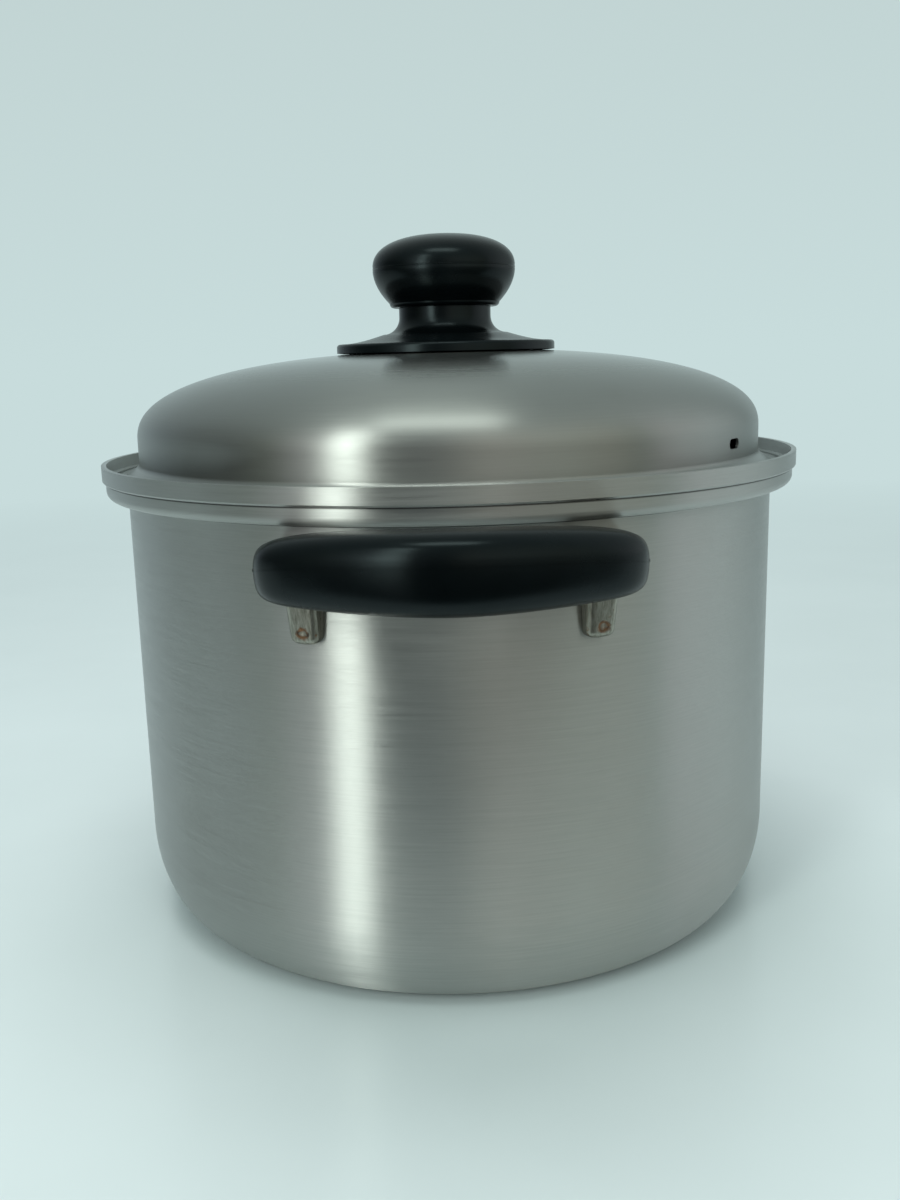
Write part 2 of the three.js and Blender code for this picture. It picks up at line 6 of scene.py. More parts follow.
import bmesh
import bpy
from mathutils import Euler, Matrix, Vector


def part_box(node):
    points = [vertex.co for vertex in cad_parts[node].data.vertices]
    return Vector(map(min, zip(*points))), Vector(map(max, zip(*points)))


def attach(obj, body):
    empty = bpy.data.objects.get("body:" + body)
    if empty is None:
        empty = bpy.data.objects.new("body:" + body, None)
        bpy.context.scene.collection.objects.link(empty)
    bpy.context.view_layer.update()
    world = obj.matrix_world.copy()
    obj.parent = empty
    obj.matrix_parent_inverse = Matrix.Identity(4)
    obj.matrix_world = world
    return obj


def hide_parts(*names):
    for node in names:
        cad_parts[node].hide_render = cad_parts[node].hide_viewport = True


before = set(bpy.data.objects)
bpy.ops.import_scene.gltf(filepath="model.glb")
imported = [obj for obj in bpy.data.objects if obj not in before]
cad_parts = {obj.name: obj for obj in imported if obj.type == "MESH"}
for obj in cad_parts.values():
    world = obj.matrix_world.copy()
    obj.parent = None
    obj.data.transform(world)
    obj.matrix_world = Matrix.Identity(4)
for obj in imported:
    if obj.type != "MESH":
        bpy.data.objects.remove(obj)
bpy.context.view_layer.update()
bpy.ops.object.select_all(action="DESELECT")

# Camera: a hand-held telephone a little above the rim, tipped down at the front handle. The lens
# is the one that puts the pot's rim, walls and base corner where the photograph has them.
camera_place = Vector((0, -0.4531, 0.2049))
camera_tilt = math.radians(11.84)
camera_roll = math.radians(-1.45)
camera_swing = math.radians(0.10)
camera_lens = 35.1
camera_sensor = 36
camera_data = bpy.data.cameras.new("camera")
camera_data.lens = camera_lens
camera_data.sensor_width = camera_sensor
camera_data.clip_start = 0.01
camera = bpy.data.objects.new("camera", camera_data)
bpy.context.scene.collection.objects.link(camera)
aimed = Euler((math.pi / 2 - camera_tilt, 0, camera_swing)).to_matrix()
camera.rotation_euler = (aimed @ Euler((0, 0, camera_roll)).to_matrix()).to_euler()
camera.location = camera_place
bpy.context.scene.camera = camera
bpy.context.scene.view_settings.view_transform = "Standard"


# Floor: a pale laminate top, smooth and slightly glossy, made from one grid. It shows the pot's
# contact shadow and a faint reflection of its base.
def linear(hex_colour):
    """An sRGB hex colour as a linear colour with alpha."""
    shares = [int(hex_colour[i : i + 2], 16) / 255 for i in (1, 3, 5)]
    return (*(s / 12.92 if s <= 0.04045 else ((s + 0.055) / 1.055) ** 2.4 for s in shares), 1)


def add_node(tree, kind, sockets=None, stops=(), **settings):
    """Add a shader node with its links. Settings are its properties.

    A socket gets a value, or a link from an output or from a node's first output in use. Stops
    are a colour ramp's places with a hex colour or a grey level each.
    """
    node = tree.nodes.new("ShaderNode" + kind)
    for name, value in settings.items():
        setattr(node, name, value)
    for name, value in (sockets or {}).items():
        if isinstance(value, bpy.types.Node):
            value = next(socket for socket in value.outputs if socket.enabled)
        if isinstance(value, bpy.types.NodeSocket):
            tree.links.new(value, node.inputs[name])
        else:
            node.inputs[name].default_value = value
    if stops:
        elements = node.color_ramp.elements
        while len(elements) < len(stops):
            elements.new(0.5)
        for element, (place, colour) in zip(elements, stops):
            element.position = place
            element.color = linear(colour) if isinstance(colour, str) else (*[colour] * 3, 1)
    return node


def new_material(name):
    """An empty node material, its tree, and the output with a point's place on its piece."""
    material = bpy.data.materials.new(name)
    material.use_nodes = True
    tree = material.node_tree
    tree.nodes.clear()
    return material, tree, add_node(tree, "TexCoord").outputs["Object"]


floor_size = 40
floor_squares = 8
table_edge = -0.22
edge_blur = 0.05
fade_near = 0.3
fade_far = 1.5
wall_colour = "#c8dcdc"
reflected_shade_colour = "#121314"
cloud_mm = 111


def laminate():
    """Pale blue-white laminate: even, hardly textured, with a soft gloss.

    Past its front edge it is painted dark for glossy rays only: painted shade that only the gloss
    of the pot and its handles sees.
    Far off, the camera sees it turn into the wall, as on a photographer's curved paper.
    """
    material, tree, place = new_material("pale laminate")
    cloud = add_node(tree, "TexNoise", {"Vector": place, "Scale": 1000 / cloud_mm, "Detail": 3})
    pale = add_node(tree, "ValToRGB", {"Fac": cloud}, [(0.3, "#d9e5e8"), (0.7, "#dde9ec")])
    y = add_node(tree, "SeparateXYZ", {"Vector": place}).outputs["Y"]
    past_edge = add_node(
        tree, "MapRange", {"Value": y, "From Min": table_edge, "From Max": table_edge - edge_blur}
    )
    path = add_node(tree, "LightPath").outputs
    # Painted shade: past the front edge, glossy rays see the floor dark.
    glossy_shade = add_node(tree, "Math", {0: path["Is Glossy Ray"], 1: past_edge}, operation="MULTIPLY")
    colour = add_node(
        tree, "Mix", {"Factor": glossy_shade, 6: pale, 7: linear(reflected_shade_colour)}, data_type="RGBA"
    )
    away = add_node(tree, "VectorMath", {0: place}, operation="LENGTH")
    far = add_node(tree, "MapRange", {"Value": away, "From Min": fade_near, "From Max": fade_far})
    faded = add_node(tree, "Math", {0: path["Is Camera Ray"], 1: far}, operation="MULTIPLY")
    near_shader = add_node(tree, "BsdfPrincipled", {"Base Color": colour, "Roughness": 0.22})
    far_shader = add_node(tree, "Emission", {"Color": linear(wall_colour), "Strength": 1})
    shader = add_node(tree, "MixShader", {0: faded, 1: near_shader, 2: far_shader})
    add_node(tree, "OutputMaterial", {"Surface": shader})
    return material


bpy.ops.mesh.primitive_grid_add(
    x_subdivisions=floor_squares, y_subdivisions=floor_squares, size=floor_size
)
floor = bpy.context.object
floor.name = "floor"
floor.data.materials.append(laminate())


# Studio light: a tall strip softbox at the front left draws the bright upright band, a low one
# widens it on the lid, and a bar over the front draws the streak on the lid's shoulder. The lamp
# overhead only makes the floor's shadow. The room gives the gloss its bright and dim parts.
light_target = Vector((0, 0, 0.12))
ceiling_colour = "#b3c0be"
ceiling_height = 0.9
room_colours = [
    (-180, wall_colour),
    (-130, "#909ea6"),
    (-105, "#454948"),
    (-80, "#3f3d3b"),
    (-64, "#8a9181"),
    (-52, "#f3f3f3"),
    (-44, "#f3f3f3"),
    (-24, "#4a4a4a"),
    (-4, "#888888"),
    (6, "#d2cfc4"),
    (14, "#fbf6ea"),
    (40, "#f8fdee"),
    (62, "#dddccb"),
    (70, "#b6c3b5"),
    (80, "#f3f3f3"),
    (105, "#e9f3f3"),
    (135, "#92a0a0"),
    (180, wall_colour),
]


def soft_box(name, place, width, height, watts, colour="#f6fff7"):
    """A rectangular lamp that faces the middle of the pot and stays out of the camera's view."""
    data = bpy.data.lights.new(name, "AREA")
    data.shape = "RECTANGLE"
    data.size = width
    data.size_y = height
    data.energy = watts
    data.color = linear(colour)[:3]
    lamp = bpy.data.objects.new(name, data)
    bpy.context.scene.collection.objects.link(lamp)
    lamp.location = place
    lamp.rotation_euler = (light_target - lamp.location).to_track_quat("-Z", "Y").to_euler()
    lamp.visible_camera = False
    return lamp


def from_front(azimuth, distance, height):
    """A place at an azimuth in degrees from the front, positive to the right."""
    angle = math.radians(azimuth)
    return Vector((distance * math.sin(angle), -distance * math.cos(angle), height))


def room():
    """The world: a colour for each azimuth from the front, turning to the ceiling's upwards.

    The camera, and what is seen through glass, gets the pale wall on every side instead.
    """
    world = bpy.data.worlds.new("soft room")
    bpy.context.scene.world = world
    world.use_nodes = True
    tree = world.node_tree
    tree.nodes.clear()
    direction = add_node(tree, "TexCoord").outputs["Generated"]
    x, y, z = add_node(tree, "SeparateXYZ", {"Vector": direction}).outputs
    front = add_node(tree, "Math", {0: y, 1: -1.0}, operation="MULTIPLY")
    angle = add_node(tree, "Math", {0: x, 1: front}, operation="ARCTAN2")
    turn = add_node(tree, "MapRange", {"Value": angle, "From Min": -math.pi, "From Max": math.pi})
    stops = [(0.5 + azimuth / 360, colour) for azimuth, colour in room_colours]
    around = add_node(tree, "ValToRGB", {"Fac": turn}, stops)
    path = add_node(tree, "LightPath").outputs
    rays = {0: path["Is Camera Ray"], 1: path["Is Transmission Ray"]}
    direct = add_node(tree, "Math", rays, operation="MAXIMUM")
    level = add_node(
        tree, "Mix", {"Factor": direct, 6: around, 7: linear(wall_colour)}, data_type="RGBA"
    )
    up = add_node(tree, "MapRange", {"Value": z, "From Min": 0, "From Max": ceiling_height})
    seen = add_node(
        tree, "Mix", {"Factor": up, 6: level, 7: linear(ceiling_colour)}, data_type="RGBA"
    )
    light = add_node(tree, "Background", {"Color": seen, "Strength": 1.0})
    add_node(tree, "OutputWorld", {"Surface": light})


room()
soft_box("strip_light", from_front(-34, 1.7, 0.75), width=0.33, height=1.5, watts=8.0)
soft_box("low_light", from_front(-36, 1.7, 0.23), width=0.43, height=0.45, watts=1.15)
top_light = soft_box("top_light", from_front(-150, 0.2, 1.6), 0.9, 0.9, 9.0, "#fffaf8")
top_light.visible_glossy = False
soft_box("bar_light", Vector((-0.05, -0.66, 1.6)), width=0.9, height=0.42, watts=5.0)


# Pot body: one sheet of stainless steel, drawn to a deep pot with a soft base corner, flared out
# to a shelf that carries the lid, turned up as a band and stepped out to a rounded lip.
smooth_angle = math.radians(30)
brush_length_mm = 25
stain_mm = 71.4
line_depth = 0.00008
line_shade = 0.35
line_roughness = 0.7
rough_from = 0.06
rough_to = 0.11


def only(piece):
    """Select one object alone and make it the active one."""
    bpy.ops.object.select_all(action="DESELECT")
    piece.select_set(True)
    bpy.context.view_layer.objects.active = piece
    return piece


def arc(centre, radii, start, end, steps):
    """Points (radius, height) on an arc of an ellipse between two angles in degrees."""
    angles = [math.radians(start + (end - start) * i / steps) for i in range(steps + 1)]
    return [
        (centre[0] + radii[0] * math.cos(a), centre[1] + radii[1] * math.sin(a)) for a in angles
    ]


def closed():
    """End edit mode with doubles merged and every face pointing outwards."""
    bpy.ops.mesh.select_all(action="SELECT")
    bpy.ops.mesh.remove_doubles(threshold=1e-6)
    bpy.ops.mesh.normals_make_consistent(inside=False)
    bpy.ops.object.mode_set(mode="OBJECT")


def spun(name, outline, steps):
    """Trace an outline of (radius, height) points in the XZ plane and spin it about the Z axis."""
    bpy.ops.object.select_all(action="DESELECT")
    start = (outline[0][0], 0, outline[0][1])
    bpy.ops.mesh.primitive_plane_add(size=0.001, location=start)
    piece = bpy.context.object
    piece.name = name
    bpy.ops.object.transform_apply()
    bpy.ops.object.mode_set(mode="EDIT")
    bpy.ops.mesh.select_mode(type="VERT")
    bpy.ops.mesh.merge(type="CENTER")
    for (x0, z0), (x1, z1) in zip(outline, outline[1:]):
        step = (x1 - x0, 0, z1 - z0)
        bpy.ops.mesh.extrude_region_move(TRANSFORM_OT_translate={"value": step})
    bpy.ops.mesh.select_all(action="SELECT")
    bpy.ops.mesh.spin(steps=steps, angle=2 * math.pi, center=(0, 0, 0), axis=(0, 0, 1))
    closed()
    return piece


def modified(piece, kind, **settings):
    """Add one modifier with its settings and apply it."""
    only(piece)
    modifier = piece.modifiers.new(kind.lower(), kind)
    for name, value in settings.items():
        setattr(modifier, name, value)
    bpy.ops.object.modifier_apply(modifier=modifier.name)


def finished(piece, material, body, node):
    """Smooth a piece, give it its material, hide the part it stands for, and hang it on its body.
    """
    only(piece)
    bpy.ops.object.shade_smooth_by_angle(angle=smooth_angle)
    piece.data.materials.clear()
    piece.data.materials.append(material)
    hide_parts(node)
    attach(piece, body)


def brushed_stainless(name, colours, lines, roughness, pull, smudges, relief, painted_crease_shade=()):
    """Brushed stainless steel: fine lines round the piece pull each highlight out across them.

    Colours are the steel and its stains. Lines are the spacing of the brush lines in millimetres,
    coarser than the real 0.1 so that they show, and the sign with which the radius counts, which
    keeps them apart on a flare or a dome. Roughness is that at the axis and at the outside, pull
    how far highlights stretch, smudges how far stains show, and relief how deep the lines are.
    Creases are inner corners that get painted shade, with how far it reaches and its darkest
    level.
    """
    material, tree, place = new_material(name)
    x, y, z = add_node(tree, "SeparateXYZ", {"Vector": place}).outputs
    flat = add_node(tree, "VectorMath", {0: place, 1: (1, 1, 0)}, operation="MULTIPLY")
    radius = add_node(tree, "VectorMath", {0: flat}, operation="LENGTH")
    spacing, sign = lines
    along = add_node(tree, "Math", {0: radius, 1: sign, 2: z}, operation="MULTIPLY_ADD")
    sizes = {"X": (x, brush_length_mm), "Y": (y, brush_length_mm), "Z": (along, spacing)}
    stretched = {
        axis: add_node(tree, "Math", {0: source, 1: 1000 / size}, operation="MULTIPLY")
        for axis, (source, size) in sizes.items()
    }
    line_place = add_node(tree, "CombineXYZ", stretched)
    noise = {"Vector": line_place, "Scale": 1, "Detail": 4, "Roughness": 0.7}
    brush = add_node(tree, "TexNoise", noise)
    cloud = add_node(tree, "TexNoise", {"Vector": place, "Scale": 1000 / stain_mm, "Detail": 4})
    stain = add_node(tree, "ValToRGB", {"Fac": cloud}, [(0.5, 0), (0.78, smudges)])
    clean, stained = [linear(colour) for colour in colours]
    base = add_node(tree, "Mix", {"Factor": stain, 6: clean, 7: stained}, data_type="RGBA")
    stops = [(0.3, 1 - relief * line_shade), (0.7, 1)]
    shades = [add_node(tree, "ValToRGB", {"Fac": brush}, stops)]
    profile = add_node(tree, "CombineXYZ", {"X": radius, "Y": z})
    # Painted shade: the colour darkens near each crease's corner in the profile.
    for *corner, reach, darkest in painted_crease_shade:
        away = add_node(tree, "VectorMath", {0: profile, 1: (*corner, 0)}, operation="DISTANCE")
        span = {"Value": away, "From Min": reach / 3, "From Max": reach, "To Min": darkest}
        shades.append(add_node(tree, "MapRange", span))
    colour = base
    for shade in shades:
        pair = {"Factor": 1.0, 6: colour, 7: shade}
        colour = add_node(tree, "Mix", pair, data_type="RGBA", blend_type="MULTIPLY")
    span = {"Value": radius, "From Min": rough_from, "From Max": rough_to}
    span.update({"To Min": roughness[0], "To Max": roughness[1]})
    even = add_node(tree, "MapRange", span)
    uneven = {0: brush, 1: relief * line_roughness, 2: even}
    rough = add_node(tree, "Math", uneven, operation="MULTIPLY_ADD")
    bump = add_node(tree, "Bump", {"Height": brush, "Strength": relief, "Distance": line_depth})
    tangent = add_node(tree, "Tangent", direction_type="RADIAL", axis="Z")
    shader = add_node(
        tree,
        "BsdfPrincipled",
        {
            "Base Color": colour,
            "Metallic": 1.0,
            "Roughness": rough,
            "Anisotropic": pull,
            "Anisotropic Rotation": 0.25,
            "Tangent": tangent,
            "Normal": bump,
        },
    )
    add_node(tree, "OutputMaterial", {"Surface": shader})
    return material


pot_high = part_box("pot_body")[1]
pot_height = pot_high.z
lip_radius = pot_high.x
wall_radius = 0.120
sheet = 0.0017
base_flat = 0.05
corner_run = 0.0183
corner_rise = 0.0324
shelf_drop = 0.0101
band_radius = 0.1275
shelf_bend = 0.0012
band_bend = 0.0029
lip_height = 0.0055
lip_step_rise = 0.0005
lip_soft = 0.0003
shelf_height = pot_height - shelf_drop
shelf_under = shelf_height - sheet
wall_top = shelf_under - shelf_bend
lip_foot = pot_height - lip_height
band_top = (band_radius, lip_foot - lip_step_rise)
wall_steps = 12
fine_steps = 192

pot_outline = [
    (0, 0),
    (base_flat, 0),
    *arc((wall_radius - corner_run, corner_rise), (corner_run, corner_rise), -90, 0, 24),
    *[
        (wall_radius, corner_rise + (wall_top - corner_rise) * i / wall_steps)
        for i in range(1, wall_steps)
    ],
    *arc((wall_radius + shelf_bend, wall_top), (shelf_bend, shelf_bend), 180, 90, 8),
    *arc((band_radius - band_bend, shelf_under + band_bend), (band_bend, band_bend), -90, 0, 10),
    band_top,
    (lip_radius - lip_soft, lip_foot - lip_soft / 3),
    (lip_radius, lip_foot + lip_soft),
    (lip_radius, pot_height - sheet),
    (lip_radius, pot_height),
]
pot_body = spun("pot_drawn_body", pot_outline, fine_steps)
modified(pot_body, "SOLIDIFY", thickness=sheet, offset=-1, use_even_offset=True)
under_shelf = (wall_radius + 0.0002, shelf_under - shelf_bend / 2)
body_steel = brushed_stainless(
    "brushed stainless, lines round the body",
    colours=("#b8bab7", "#9d9b92"),
    lines=(0.7, 1.0),
    roughness=(0.22, 0.22),
    pull=1.0,
    smudges=0.2,
    relief=0.45,
    painted_crease_shade=[(*band_top, 0.0005, 0.25), (*under_shelf, 0.0006, 0.2)],
)
finished(pot_body, body_steel, "pot", "pot_body")


# Lid: one thinner sheet, pressed to a shallow dome with a soft shoulder, an upright side and a
# sloped flange whose turned-down edge rests on the pot's shelf. A steam slot is pierced in it.
def removed(*pieces):
    """Delete helper objects that have done their work."""
    for piece in pieces:
        bpy.data.objects.remove(piece)


def turned_copy(piece, name, angle):
    """A copy with its own mesh, turned about the pot's axis, with its place in its mesh."""
    copy = piece.copy()
    copy.data = piece.data.copy()
    copy.name = name
    bpy.context.scene.collection.objects.link(copy)
    copy.rotation_euler.z = angle
    only(copy)
    bpy.ops.object.transform_apply(location=True, rotation=True, scale=True)
    return copy


def boxed(name, low, high):
    """A plain box between two corners, used as a cutter or as a start."""
    bpy.ops.object.select_all(action="DESELECT")
    bpy.ops.mesh.primitive_cube_add(size=1, location=(low + high) / 2)
    block = bpy.context.object
    block.name = name
    block.scale = high - low
    bpy.ops.object.transform_apply(location=True, rotation=True, scale=True)
    return block


def cut_away(piece, *cutters):
    """Take the cutters away from a piece, one by one, and delete them."""
    for cutter in cutters:
        modified(piece, "BOOLEAN", object=cutter, operation="DIFFERENCE")
        removed(cutter)


lid_low, lid_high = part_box("lid_shell")
lid_sheet = 0.001
lid_flange_width = 0.009
lid_edge_radius = lid_high.x
lid_wall_radius = lid_edge_radius - lid_flange_width
lid_top = lid_high.z
crown_foot = shelf_height + 0.0181
lid_roundness = 2.4
flange_height = shelf_height + 0.0054
flange_run = 0.0053
flange_slope_angle = 34
foot_bend = 0.002
skirt_bend = 0.0015
screw_hole = 0.003
knob_flat = 0.012
vent_width = 0.0076
vent_height = 0.0034
vent_rise = shelf_height + 0.0149
vent_azimuth = math.radians(54.5)
vent_reach = 0.01
vent_round = vent_height * 0.49
crown_steps = 40
crown_first = 3


def lid_face_height(distance):
    """Height of the lid's upper face at a distance from the axis: a flattened superellipse."""
    left = 1 - (distance / lid_wall_radius) ** lid_roundness
    return crown_foot + (lid_top - crown_foot) * left ** (1 / lid_roundness)


crown_radii = [
    lid_wall_radius * math.sin(math.pi / 2 * i / crown_steps) ** (2 / lid_roundness)
    for i in range(crown_first, crown_steps + 1)
]
flange_fall = math.tan(math.radians(flange_slope_angle))
foot_turn = 270 - flange_slope_angle
foot_run = foot_bend * (1 + math.cos(math.radians(foot_turn)))
foot_end = flange_height + (flange_run - foot_run) * flange_fall
foot_start = foot_end - foot_bend * math.sin(math.radians(foot_turn))
skirt_centre = (lid_edge_radius - skirt_bend, flange_height - skirt_bend)
lid_outline = [
    (screw_hole, lid_top),
    (knob_flat, lid_top),
    *[(r, lid_face_height(r)) for r in crown_radii],
    *arc((lid_wall_radius + foot_bend, foot_start), (foot_bend, foot_bend), 180, foot_turn, 6),
    (lid_wall_radius + flange_run, flange_height),
    *arc(skirt_centre, (skirt_bend, skirt_bend), 90, 0, 6),
    (lid_edge_radius, lid_low.z),
]
lid_shell = spun("lid_pressed_shell", lid_outline, fine_steps)
modified(lid_shell, "SOLIDIFY", thickness=lid_sheet, offset=-1, use_even_offset=True)
vent = boxed(
    "vent",
    Vector((-vent_width / 2, -lid_wall_radius - vent_reach, vent_rise - vent_height / 2)),
    Vector((vent_width / 2, -lid_wall_radius + vent_reach, vent_rise + vent_height / 2)),
)
modified(vent, "BEVEL", width=vent_round, segments=6)
cut_away(lid_shell, turned_copy(vent, "turned_vent", vent_azimuth))
removed(vent)
lid_steel = brushed_stainless(
    "satin stainless, circular lines",
    colours=("#a3a5a2", "#868276"),
    lines=(0.7, -1.0),
    roughness=(0.105, 0.29),
    pull=0.85,
    smudges=0.35,
    relief=0.2,
)
finished(lid_shell, lid_steel, "lid", "lid_shell")


# Knob: a black phenolic mushroom grip, moulded in two halves that meet at its widest line, screwed
# down on a collar whose wide flange spreads over the lid and keeps fingers off the hot steel.
skin_mm = 1.11
wear_mm = 22.2


def moulded_phenolic():
    """Black compression-moulded phenolic: semi-gloss skin with a very fine, soft unevenness.

    The skin's grain is coarser than the real one of 0.2 mm, so that it shows.
    """
    material, tree, place = new_material("moulded phenolic, semi-gloss")
    skin = add_node(tree, "TexNoise", {"Vector": place, "Scale": 1000 / skin_mm, "Detail": 2})
    wear = add_node(tree, "TexNoise", {"Vector": place, "Scale": 1000 / wear_mm, "Detail": 4})
    colour = add_node(tree, "ValToRGB", {"Fac": wear}, [(0.35, "#030607"), (0.7, "#060b0d")])
    span = {"Value": wear, "From Min": 0.3, "From Max": 0.7, "To Min": 0.22, "To Max": 0.29}
    rough = add_node(tree, "MapRange", span)
    bump = add_node(tree, "Bump", {"Height": skin, "Strength": 0.12, "Distance": 0.0001})
    shader = add_node(
        tree,
        "BsdfPrincipled",
        {
            "Base Color": colour,
            "Roughness": rough,
            "IOR": 1.5,
            "Specular IOR Level": 0.23,
            "Specular Tint": linear("#d2e8ee"),
            "Normal": bump,
        },
    )
    add_node(tree, "OutputMaterial", {"Surface": shader})
    return material


phenolic = moulded_phenolic()
grip_low, grip_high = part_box("knob_grip")
knob_radius = grip_high.x
knob_top = grip_high.z
knob_under = grip_low.z
knob_waist = lid_top + 0.0298
knob_under_radius = 0.0206
knob_edge = 0.0016
knob_roundness = 2.4
insert_hole = 0.0047
insert_depth = 0.0136
seam_rise = 0.00012
seam_half = 0.00022
knob_steps = 128
taper_steps = 14

taper = [
    (
        knob_radius - (knob_radius - knob_under_radius) * (1 - i / taper_steps) ** 2,
        knob_waist - (knob_waist - knob_under - knob_edge) * (1 - i / taper_steps),
    )
    for i in range(1, taper_steps)
]
crown = [
    (
        knob_radius * math.cos(math.radians(a)) ** (2 / knob_roundness),
        knob_waist + (knob_top - knob_waist) * math.sin(math.radians(a)) ** (2 / knob_roundness),
    )
    for a in range(4, 90, 4)
]
edge_centre = (knob_under_radius - knob_edge, knob_under + knob_edge)
grip_outline = [
    (0, knob_under + insert_depth),
    (insert_hole, knob_under + insert_depth),
    (insert_hole, knob_under),
    *arc(edge_centre, (knob_edge, knob_edge), -90, 0, 8),
    *taper,
    (knob_radius - seam_rise, knob_waist - seam_half),
    (knob_radius, knob_waist - seam_half / 2),
    (knob_radius, knob_waist + seam_half / 2),
    (knob_radius - seam_rise, knob_waist + seam_half),
    *crown,
    (0, knob_top),
]
knob_grip = spun("knob_moulded_grip", grip_outline, knob_steps)
finished(knob_grip, phenolic, "lid", "knob_grip")

collar_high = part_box("knob_collar")[1]
neck_radius = 0.0172
neck_fillet = 0.0062
flange_radius = collar_high.x
flange_edge = 0.0036
flange_round = 0.0012
flange_slope = 0.0032
flange_hollow = 0.0009
edge_gap = 0.0003
collar_seat = lid_top + 0.00005
edge_under = lid_face_height(flange_radius) + edge_gap
edge_top = edge_under + flange_edge
round_radius = flange_radius - flange_round
root_radius = neck_radius + neck_fillet
root_height = edge_top + flange_slope
slope_steps = 10
slope = [
    (
        round_radius - (round_radius - root_radius) * i / slope_steps,
        edge_top + flange_slope * (1 - math.cos(math.pi / 2 * i / slope_steps)),
    )
    for i in range(1, slope_steps)
]
collar_outline = [
    (screw_hole, collar_seat),
    (knob_flat, collar_seat),
    (knob_flat + flange_hollow, lid_top + flange_hollow),
    (flange_radius - flange_edge, edge_under + flange_hollow),
    (flange_radius - flange_edge + flange_hollow, edge_under),
    (flange_radius, edge_under + edge_gap),
    *arc((round_radius, edge_top - flange_round), (flange_round, flange_round), 0, 90, 6),
    *slope,
    *arc((root_radius, root_height + neck_fillet), (neck_fillet, neck_fillet), 270, 180, 12),
    (neck_radius, collar_high.z),
    (screw_hole, collar_high.z),
    (screw_hole, collar_seat),
]
knob_collar = spun("knob_moulded_collar", collar_outline, knob_steps)
finished(knob_collar, phenolic, "lid", "knob_collar")


# Loop handles: black phenolic, moulded like the knob, each a soft bow with two legs hollowed for
# the brackets. Rings of a soft box section are set along the bow, bridged, mirrored and smoothed.
def pick(piece, test):
    """In edit mode, select only the vertices that a test on their place accepts."""
    bpy.ops.mesh.select_mode(type="VERT")
    bpy.ops.mesh.select_all(action="DESELECT")
    mesh = bmesh.from_edit_mesh(piece.data)
    for vertex in mesh.verts:
        vertex.select = test(vertex.co)
    mesh.select_flush(True)
    bmesh.update_edit_mesh(piece.data)


def smooth_line(points, steps):
    """Points on a centripetal Catmull-Rom line through the given ones, so many to a stretch."""
    ends = [2 * points[0] - points[1], *points, 2 * points[-1] - points[-2]]
    line = []
    for a, b, c, d in zip(ends, ends[1:], ends[2:], ends[3:]):
        u, v, w = (math.sqrt((q - p).length) for p, q in ((a, b), (b, c), (c, d)))
        leaving = v * ((b - a) / u - (c - a) / (u + v) + (c - b) / v)
        arriving = v * ((c - b) / v - (d - b) / (v + w) + (d - c) / w)
        for i in range(steps):
            t = i / steps
            s = 1 - t
            line.append(
                b * (s * s * (1 + 2 * t)) + leaving * (t * s * s)
                + c * (t * t * (3 - 2 * t)) - arriving * (s * t * t)
            )
    return [*line, points[-1]]


handle_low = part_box("front_handle")[0]
foot_span = 0.0446
foot_inset = 0.004
knee_span = 0.048
knee_reach = 0.0068
shoulder_span = 0.0357
shoulder_reach = 0.017
leg_underside = pot_height - 0.0318
grip_underside = handle_low.z
leg_half_width = 0.0084
grip_half_width = 0.010
leg_crown = 0.0086
foot_fall = 0.0015
grip_crown = 0.0079
leg_belly = 0.0092
grip_belly = 0.0164
leg_top_roundness = 2.6
leg_under_roundness = 3.4
grip_roundness = 2.6
fullness = 0.5
seat_gap = 0.0003
bracket_inset = 0.0016
bracket_angle = math.asin((foot_span - bracket_inset) / wall_radius)
ring_sides = 16
line_steps = 6
seam_width = 0.0002
seam_height = 0.0002
cutter_depth = 0.4
least_share = 0.001
foot_slack = 0.0005
mirror_merge = 0.00005
seam_weight = 0.99
# Rings set on the line lie above this height and nearer than a metre, so a new one is told apart.
ring_ceiling = 0.05
ring_near = 0.99
ring_slack = 0.01
level_slack = 0.0001


def handle_line():
    """The bow's centre line in plan, from the middle of the grip to the right foot."""
    foot_back = math.sqrt(wall_radius**2 - foot_span**2) - foot_inset
    right = [
        Vector((shoulder_span, -wall_radius - shoulder_reach, 0)),
        Vector((knee_span, -wall_radius - knee_reach, 0)),
        Vector((foot_span, -foot_back, 0)),
    ]
    left = [Vector((-p.x, p.y, 0)) for p in reversed(right)]
    middle = Vector((0, handle_low.y + grip_half_width, 0))
    return smooth_line([*left, middle, *right], line_steps)[len(left) * line_steps :]


def between(leg, grip, swell):
    """A size of the section, between the leg's and the grip's."""
    return leg + (grip - leg) * swell


